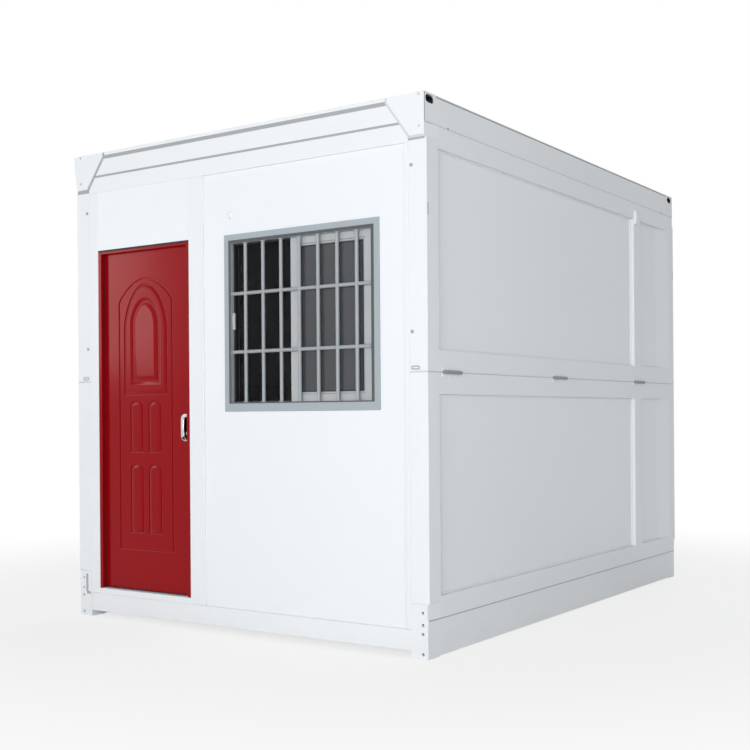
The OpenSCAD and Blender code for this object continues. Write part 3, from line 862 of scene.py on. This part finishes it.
def buildPanes():
    strips, panes = [], []
    for node in ("window_sash_front", "window_sash_back"):
        low, high = nodeBox[node]
        middle = (low.y + high.y) / 2
        strips.append(outlineSheet("gasket", [sashOutline(node, 0.001), sashOutline(node, -0.004)],
                                   high.y - 0.0035, low.y + 0.004, [(0.001, 0.0005)]))
        pane = outlineSheet("pane", [sashOutline(node, 0.003)], middle + sashLook["pane"] / 2,
                            middle - sashLook["pane"] / 2 + 0.0003, [(0.0004, 0.0003)])
        panes.append(pane)
    finishPiece(joinAll("glassGaskets", strips), "house", "black_rubber_and_shade")
    finishPiece(joinAll("windowPanes", panes), "house", "window_glass", ["window_glass"])


def buildGuard():
    # round bars let into each other, a weld at each crossing and a lug at each end
    look = guardLook
    low, high = nodeBox["window_guard"]
    barY = (low.y + high.y) / 2
    middleX, middleZ = (low.x + high.x) / 2, (low.z + high.z) / 2
    uprights = [middleX + (number - (look["bars"] - 1) / 2) * look["pitch"] for number in range(look["bars"])]
    crossings = [middleZ - look["rise"] / 2, middleZ + look["rise"] / 2]
    startX, startZ = uprights[0], crossings[0]
    upright = addRod("guardBar", (startX, barY, middleZ), look["radius"], high.z - low.z, "Z", 20)
    parts = spread(upright, [(x - startX, 0, 0) for x in uprights[1:]])
    cross = addRod("guardCross", (middleX, barY, startZ), look["radius"], high.x - low.x, "X", 20)
    parts += spread(cross, [(0, 0, look["rise"])])
    startFresh()
    bpy.ops.mesh.primitive_uv_sphere_add(segments=14, ring_count=8, radius=look["weld"],
                                         location=(startX, barY, startZ))
    weld = settle(bpy.context.object)
    parts += spread(weld, [(x - startX, 0, z - startZ) for x in uprights for z in crossings][1:])
    thick = look["lugThick"]
    lug = addRod("guardLug", (startX, barY, low.z + thick / 2), look["lug"], thick, "Z", 20)
    roundEdges(lug, 0.001)
    rises = (0.0, high.z - low.z - thick)
    parts += spread(lug, [(x - startX, 0, rise) for rise in rises for x in uprights][1:])
    endLug = addRod("guardLug", (low.x + thick / 2, barY, startZ), look["lug"], thick, "X", 20)
    roundEdges(endLug, 0.001)
    widths = (0.0, high.x - low.x - thick)
    parts += spread(endLug, [(across, 0, z - startZ) for across in widths for z in crossings][1:])
    finishPiece(joinAll("windowGuard", parts), "house", "guard_steel", ["window_guard"])


def buildTrackShade():
    # black channel around the open half, where the sashes slide; the channel is real, its black paints the
    # shade inside the frame's jamb, head and sill
    look = trackLook
    low, high = nodeBox["window_guard"]
    near = nodeBox["window_sash_front"][0]
    front, back = near.y - look["past"], nodeBox["window_sash_back"][1].y + look["past"]
    strips = []
    for start, end, side in (
            ((low.x - look["sunk"], front, low.z), (low.x + look["thick"], back, high.z), "+X"),
            ((low.x, front, high.z - look["headThick"]), (near.x, back, high.z + look["sunk"]), "-Z"),
            ((low.x, front, low.z - look["sunk"]), (near.x, back, low.z + look["thick"]), "+Z")):
        strip = softBlock("track", start, end, 0.001)
        strips.append(insetFaces(strip, facing(side, 0.9), [(look["lip"], 0.0), (0.001, -look["channel"])]))
    finishPiece(joinAll("windowTrackShade", strips), "house", "black_rubber_and_shade")


def buildRevealShade():
    # dark ring in the inner lip of the window frame, all the way round: painted shade along the frame's inner
    # edge
    front = nodeBox["window_frame"][0].y
    low, high = nodeBox["window_guard"]
    edges = [boxOutline(low.x - out, high.x + out, low.z - below, high.z + out)
             for out, below in ((0.016, 0.006), (0.0005, 0.0005))]
    ring = outlineSheet("revealShadeRing", edges, front + 0.002, front - 0.0006, [(0.0006, 0.0004)])
    finishPiece(ring, "house", "painted_reveal_shade")


def buildWindowLatch():
    look = latchLook
    low, high = nodeBox["window_guard"]
    body = softBlock("latchBody", (low.x, low.y + 0.004, look["bottom"]),
                     (low.x + look["wide"], high.y, look["top"]), 0.004, 3)
    tail = softBlock("latchTail", (low.x + 0.004, low.y - 0.0005, look["tailBottom"]),
                     (low.x + look["wide"] - 0.002, low.y + 0.006, look["tailTop"]), 0.003, 3)
    finishPiece(joinAll("windowLatch", [body, tail]), "house", "sash_aluminium")


buildSash("window_sash_front", "frontSash")
buildSash("window_sash_back", "backSash")
buildPanes()
buildGuard()
buildTrackShade()
buildRevealShade()
buildWindowLatch()
print("window done")


wallFace = nodeBox["right_lower_frame"][1].x
panelFace = nodeBox["right_lower_panels"][1].x
jointLook = {"groove": 0.019, "grooveDrop": 0.027, "beamLine": 0.011, "thick": 0.0012, "inset": 0.010,
             "sideGrooveShade": (0.0105, 0.0045), "foldBack": 0.0002, "plateEdge": 0.011}
sideBays = {"main": (-1.462, 0.868), "short": (0.983, 1.462), "rail": 0.098, "bead": 0.008,
            "past": 0.02, "nearRamp": 0.05, "farRamp": 0.17}
fittingLook = {"plugRadius": 0.0085, "plugX": 1.050, "plugHeights": (1.457, 2.200), "latchX": 1.066,
               "latchZ": 1.296, "latchWide": 0.046, "latchHigh": 0.018, "capX": -0.027, "capZ": 2.091,
               "capRadius": 0.016, "bolt": (-1.359, 2.388), "boltRadius": 0.006,
               "slotMark": ((-1.552, 1.972), (-1.546, 2.028))}
slotLook = {"deep": 0.046, "low": 0.0445, "high": 0.0095, "near": 0.0155, "far": 0.0865, "round": 0.012}


def turnToSide(piece):  # from facing the front to facing the right side
    piece.rotation_euler.z = math.pi / 2
    return settle(piece)


def bothEnds(piece, name):  # joins a piece on the front with its copy on the back
    return joinAll(name, [piece, mirrorCopy(piece, name + "Back", "Y")])


def bothSides(piece, name):
    return joinAll(name, [piece, mirrorCopy(piece, name + "Left", "X")])


def allCorners(piece, name):
    return bothSides(bothEnds(piece, name), name)


def buildRoofShadeSeals():
    # grey strips in the roof grooves and along the beam and base joints: real sealant in part, and painted
    # shade lines under the lips and along the seams
    look = jointLook
    low, high = nodeBox["roof_beam_front"]
    sideLow, sideHigh = nodeBox["roof_beam_right"]
    face, outside = low.y, sideHigh.x
    grooveZ = high.z - look["grooveDrop"]
    lowest, highest = look["sideGrooveShade"]
    endLines = [
        softBlock("grooveShadeSeal", (low.x, face - look["thick"], grooveZ - look["groove"] / 2),
                  (high.x, face + 0.004, grooveZ + look["groove"] / 2)),
        softBlock("beamShadeSeal", (low.x, face - look["thick"], low.z - look["beamLine"] / 2),
                  (high.x, face + 0.002, low.z + look["beamLine"] / 2))]
    sideLines = [softBlock("sideGrooveShade", (outside - 0.004, sideLow.y, sideHigh.z - lowest),
                           (outside + 0.0006, sideHigh.y, sideHigh.z - highest), 0.0006)]
    baseTop = nodeBox["base_beam_right"][1].z
    for name, bottom, top in (("sideBeamShadeSeal", sideLow.z - 0.0035, sideLow.z + 0.0045),
                              ("sideBaseShadeSeal", baseTop - 0.006, baseTop + 0.001)):
        sideLines.append(softBlock(name, (outside - 0.002, face + look["inset"], bottom),
                                   (outside + look["thick"], -face - look["inset"], top)))
    ends = bothEnds(joinAll("roofEndShadeSeals", endLines), "roofEndShadeSeals")
    sides = bothSides(joinAll("roofSideShadeSeals", sideLines), "roofSideShadeSeals")
    finishPiece(joinAll("roofShadeSeals", [ends, sides]), "house", "grey_sealant_and_shade")


def buildPlateShadeSeals():
    # a bead along the slanted side of each corner plate, and another on each post's head, paints the shade
    # line at these edges; the left beads are darker grey than the right, painted as shaded and lit copies
    low, high = nodeBox["roof_beam_front"]
    blockLow, blockHigh = nodeBox["roof_corner_front_right"]
    top, face = high.z - 0.003, low.y
    rim, drop = jointLook["plateEdge"], jointLook["plateEdge"] * 0.3
    outline = [(wallFace - 0.206 - rim, top), (wallFace - 0.206 - rim, top - 0.022 - drop),
               (wallFace - 0.131 - rim, top - 0.124 - drop),
               (wallFace - 0.085 - rim * 0.6, top - 0.187 - rim),
               (wallFace - 0.008, top - 0.187 - rim), (wallFace - 0.008, top)]
    seal = outlineSheet("plateShadeSeal", [outline], face + 0.001, face - 0.0016, [(0.0008, 0.0006)])
    head = softBlock("postTopShadeSeal", (high.x + 0.001, face - jointLook["thick"], blockLow.z - 0.011),
                     (blockHigh.x, face + 0.001, blockLow.z + 0.0035))
    right = bothEnds(seal, "rightPlateShadeSeals")
    left = mirrorCopy(right, "leftPlateShadeSeals", "X")
    heads = allCorners(head, "postTopShadeSeals")
    finishPiece(joinAll("leftPlateShadeSeals", [left, heads]), "house", "grey_sealant_and_shade")
    finishPiece(right, "house", "pale_seal_and_shade")


def buildFoldSeals():
    # soft strip that closes the fold line between the lower and upper wall leaves
    lowerTop = nodeBox["right_lower_frame"][1].z
    low, high = nodeBox["right_upper_frame"]
    back = jointLook["foldBack"]
    strip = softBlock("foldSeal", (low.x + 0.003, low.y + back, lowerTop - 0.0002),
                      (wallFace - back, high.y - back, low.z + 0.0002), 0.0006)
    finishPiece(bothSides(strip, "foldSeals"), "house", "pale_seal_and_shade")


def buildPanelBeads():
    # small angle beads hold the side panels in their frames
    rail, wide = sideBays["rail"], sideBays["bead"]
    near, far = sideBays["main"][0] - sideBays["past"], sideBays["short"][1] + sideBays["past"]
    beads = []
    for frameName in ("right_lower_frame", "right_upper_frame"):
        low, high = nodeBox[frameName]
        bottom, top = low.z + rail, high.z - rail
        for start, end in ((near, sideBays["main"][1]), (sideBays["short"][0], far)):
            edges = [boxOutline(start + back, end - back, bottom + back, top - back) for back in (0.0, wide)]
            bead = outlineSheet("panelBead", edges, -panelFace + 0.0005, -panelFace - 0.0045,
                                [(0.002, 0.002)])
            beads.append(turnToSide(bead))
    finishPiece(bothSides(joinAll("panelBeads", beads), "panelBeads"), "house", "white_frame_paint")


def slantFace(piece, atY, pull):  # draws the outer edge of one end of a block inwards, so its side ramps
    pick(piece)
    bpy.ops.object.mode_set(mode="EDIT")
    bpy.ops.mesh.select_mode(type="EDGE")
    bpy.ops.mesh.select_all(action="DESELECT")
    bpy.ops.object.mode_set(mode="OBJECT")
    outside = max(vertex.co.x for vertex in piece.data.vertices)
    for line in piece.data.edges:
        ends = [piece.data.vertices[index].co for index in line.vertices]
        line.select = all(abs(end.y - atY) < 0.0001 and end.x > outside - 0.0001 for end in ends)
    bpy.ops.object.mode_set(mode="EDIT")
    bpy.ops.transform.translate(value=(-pull, 0, 0))
    bpy.ops.object.mode_set(mode="OBJECT")
    return piece


def buildBayFlashings():
    # a folded sheet ramps from each recessed panel up to the corner post beside it
    ramps = []
    for frameName in ("right_lower_frame", "right_upper_frame"):
        low, high = nodeBox[frameName]
        bottom, top = low.z + sideBays["rail"], high.z - sideBays["rail"]
        for bay, edge, away in (("nearRamp", sideBays["main"][0], 1), ("farRamp", sideBays["short"][1], -1)):
            reach = edge + away * sideBays[bay]
            ramp = addBlock("bayFlashing", (panelFace - 0.0005, min(edge, reach), bottom),
                            (wallFace - 0.0002, max(edge, reach), top))
            ramps.append(slantFace(ramp, reach, wallFace - panelFace - 0.0002))
    finishPiece(bothSides(joinAll("bayFlashings", ramps), "bayFlashings"), "house", "wall_panel", angle=5)


def buildCornerFillets():
    # weld fillets lead the wall frame down to the corner blocks, which sit a little further in
    lowBlock, highBlock = nodeBox["base_corner_front_right"], nodeBox["roof_corner_front_right"]
    lowFrame, highFrame = nodeBox["right_lower_frame"], nodeBox["right_upper_frame"]
    start, blockFace = highBlock[0].y + 0.0025, lowBlock[1].x
    fillets = []
    for bottom, top in ((lowFrame[0].z + 0.0004, lowBlock[1].z), (highBlock[0].z, highFrame[1].z - 0.0004)):
        fillet = addBlock("cornerFillet", (blockFace - 0.004, start, bottom),
                          (wallFace - 0.0001, sideBays["main"][0] + 0.002, top))
        fillets.append(slantFace(fillet, start, wallFace - blockFace - 0.0002))
    corners = allCorners(joinAll("cornerFillets", fillets), "cornerFillets")
    finishPiece(corners, "house", "white_frame_paint", angle=5)


def buildFootMarks():
    # grey strips, shaped like an L, paint the shade in the open joint between the left front post foot and
    # the sill beam
    face = nodeBox["base_beam_front"][0].y
    tall = softBlock("footJointShade", (-1.078, face - 0.0008, 0.132), (-1.062, face + 0.002, 0.228))
    short = softBlock("footJointShade", (-1.074, face - 0.0008, 0.119), (-1.042, face + 0.002, 0.133))
    finishPiece(joinAll("footJointShade", [tall, short]), "house", "grey_sealant_and_shade")


def ovalOutline(middleX, middleZ, wide, high, count=12):
    points, radius = [], high / 2
    for side, start in ((1, -90), (-1, 90)):
        for step in range(count + 1):
            turn = math.radians(start + 180 * step / count)
            points.append((middleX + side * (wide / 2 - radius) + radius * math.cos(turn),
                           middleZ + radius * math.sin(turn)))
    return points


def buildPostFittings():
    look = fittingLook
    # the grey plugs with a sunken middle paint the shade inside the post holes, and the grey slot mark paints
    # the shade in a slot; the fold latch and the beam bolt are grey fittings
    face = nodeBox["right_upper_frame"][0].y
    dark = []
    for z in look["plugHeights"]:
        plug = addRod("postHoleShade", (look["plugX"], face - 0.0002, z), look["plugRadius"], 0.003, "Y", 20)
        dark.append(insetFaces(plug, facing("-Y"), [(0.0015, 0.0006), (0.0012, -0.0012)]))
    oval = ovalOutline(look["latchX"], look["latchZ"], look["latchWide"], look["latchHigh"])
    dark.append(outlineSheet("foldLatch", [oval], face + 0.001, face - 0.0008,
                             [(0.002, 0.0008), (0.003, 0.0), (0.001, -0.0018)]))
    boltY, boltZ = look["bolt"]
    boltX = nodeBox["roof_beam_right"][1].x + 0.0005
    dark.append(addRod("beamBolt", (boltX, boltY, boltZ), look["boltRadius"], 0.004, "X", 6))
    (nearY, bottom), (farY, top) = look["slotMark"]
    dark.append(softBlock("postSlotShade", (wallFace - 0.0015, nearY, bottom), (wallFace + 0.0006, farY, top)))
    finishPiece(allCorners(joinAll("postFittings", dark), "postFittings"), "house", "grey_sealant_and_shade")


def buildSlotShade():
    # a black lining paints the shade inside each lifting slot
    look = slotLook
    low, high = nodeBox["roof_corner_front_right"]
    inside = (high.x - look["deep"] - 0.005, low.y + look["near"], high.z - look["low"])
    mouth = (high.x - 0.0008, low.y + look["far"], high.z - look["high"])
    liner = softBlock("slotShadeLiner", inside, mouth, look["round"], 3)
    chooseFaces(liner, facing("+X", 0.9))
    bpy.ops.mesh.inset(thickness=0.0015, depth=0.0)
    bpy.ops.mesh.extrude_region_move(TRANSFORM_OT_translate={"value": (-look["deep"], 0, 0)})
    bpy.ops.object.mode_set(mode="OBJECT")
    finishPiece(allCorners(liner, "slotShadeLiners"), "house", "black_rubber_and_shade")


def buildWallCap():
    look = fittingLook
    x, z, radius = look["capX"], look["capZ"], look["capRadius"]
    face = nodeBox["front_window_panel"][0].y
    startFresh()
    bpy.ops.mesh.primitive_uv_sphere_add(segments=28, ring_count=14, radius=radius, location=(x, face, z))
    dome = bpy.context.object
    dome.scale = (1, 0.6, 1)
    settle(dome)
    collar = addRod("capCollar", (x, face - 0.001, z), radius + 0.004, 0.004, "Y", 28)
    roundEdges(collar, 0.001)
    spout = softBlock("capSpout", (x - 0.006, face - 0.009, z - 0.024),
                      (x + 0.006, face, z - 0.008), 0.003, 3)
    finishPiece(joinAll("wallCap", [dome, collar, spout]), "house", "white_frame_paint")


buildRoofShadeSeals()
buildPlateShadeSeals()
buildFoldSeals()
buildPanelBeads()
buildBayFlashings()
buildCornerFillets()
buildFootMarks()
buildPostFittings()
buildSlotShade()
buildWallCap()
print("seals and fittings done")


frameLook = {"lip": 0.022, "seal": 0.009, "overlap": 0.001, "ridges": 5, "ridgePitch": 0.0045,
             "plateDeep": 0.024}


def buildDoorSeals():
    # rubber in the rebate behind the lip, and a black strip at the head that paints the shade under the head
    # of the opening
    look = frameLook
    low, high = nodeBox["door_frame"]
    over = look["lip"] - look["overlap"]
    under = over - look["seal"]
    foot, lipBack = low.z + 0.002, low.y + look["lip"]
    outline = [(low.x + under, foot), (low.x + over, foot), (low.x + over, high.z - over),
               (high.x - over, high.z - over), (high.x - over, foot), (high.x - under, foot),
               (high.x - under, high.z - under), (low.x + under, high.z - under)]
    seal = outlineSheet("rebateSeal", [outline], lipBack + 0.0035, lipBack - 0.0002, [(0.001, 0.0002)])
    headShade = softBlock("headShadeStrip", (low.x + 0.001, low.y - 0.0012, high.z - 0.010),
                     (high.x - 0.001, low.y + 0.002, high.z - 0.0005))
    finishPiece(joinAll("doorSeals", [seal, headShade]), "house", "black_rubber_and_shade")


def buildThreshold():
    # a ridged plate across the foot of the doorway
    look = frameLook
    low, high = nodeBox["door_frame"]
    start, end = low.x + look["lip"], high.x - look["lip"]
    plate = softBlock("threshold", (start, low.y, low.z - 0.001),
                      (end, low.y + look["plateDeep"], low.z + 0.002), 0.0006)
    ridge = softBlock("ridge", (start + 0.002, low.y + 0.002, low.z + 0.0015),
                      (end - 0.002, low.y + 0.004, low.z + 0.0035), 0.0006)
    ridges = spread(ridge, [(0, look["ridgePitch"] * number, 0) for number in range(1, look["ridges"])])
    finishPiece(joinAll("doorThreshold", [plate] + ridges), "house", "sash_aluminium")


buildDoorSeals()
buildThreshold()
print("door frame fittings done")


roofLook = {"ribPitch": 0.205, "ribTop": 0.030, "ribFoot": 0.060, "ribHigh": 0.016, "edge": 0.05,
            "screwRadius": 0.009}


def buildRoof():
    # a flat insulated panel whose top sheet carries low ribs from side to side, screwed down between them
    look = roofLook
    low, high = nodeBox["roof_panel"]
    pitch, edge = look["ribPitch"], look["edge"]
    flat = high.z - look["ribHigh"]
    core = addBlock("roofCore", low, (high.x, high.y, flat))
    count = int((high.y - low.y - 2 * edge) / pitch) + 1
    start = (low.y + high.y) / 2 - (count - 1) * pitch / 2
    rib = addBlock("roofRib", (low.x + 0.004, start - look["ribFoot"] / 2, flat - 0.001),
                   (high.x - 0.004, start + look["ribFoot"] / 2, high.z - 0.0005))
    chooseFaces(rib, facing("+Z"))
    bpy.ops.transform.resize(value=(0.995, look["ribTop"] / look["ribFoot"], 1))
    bpy.ops.object.mode_set(mode="OBJECT")
    roundEdges(rib, 0.003)
    ribs = spread(rib, [(0, number * pitch, 0) for number in range(1, count)])
    screw = addRod("roofScrew", (low.x + edge, start + pitch / 2, flat + 0.001), look["screwRadius"], 0.003,
                   "Z", 16)
    insetFaces(screw, facing("+Z"), [(0.004, 0.0), (0.0005, 0.004)])
    across = [share * (high.x - low.x - 2 * edge) for share in (0.0, 0.5, 1.0)]
    screws = spread(screw, [(x, number * pitch, 0) for number in range(count - 1) for x in across][1:])
    finishPiece(joinAll("roofSheet", [core] + ribs + screws), "house", "roof_sheet", ["roof_panel"])


buildRoof()
print("roof done")
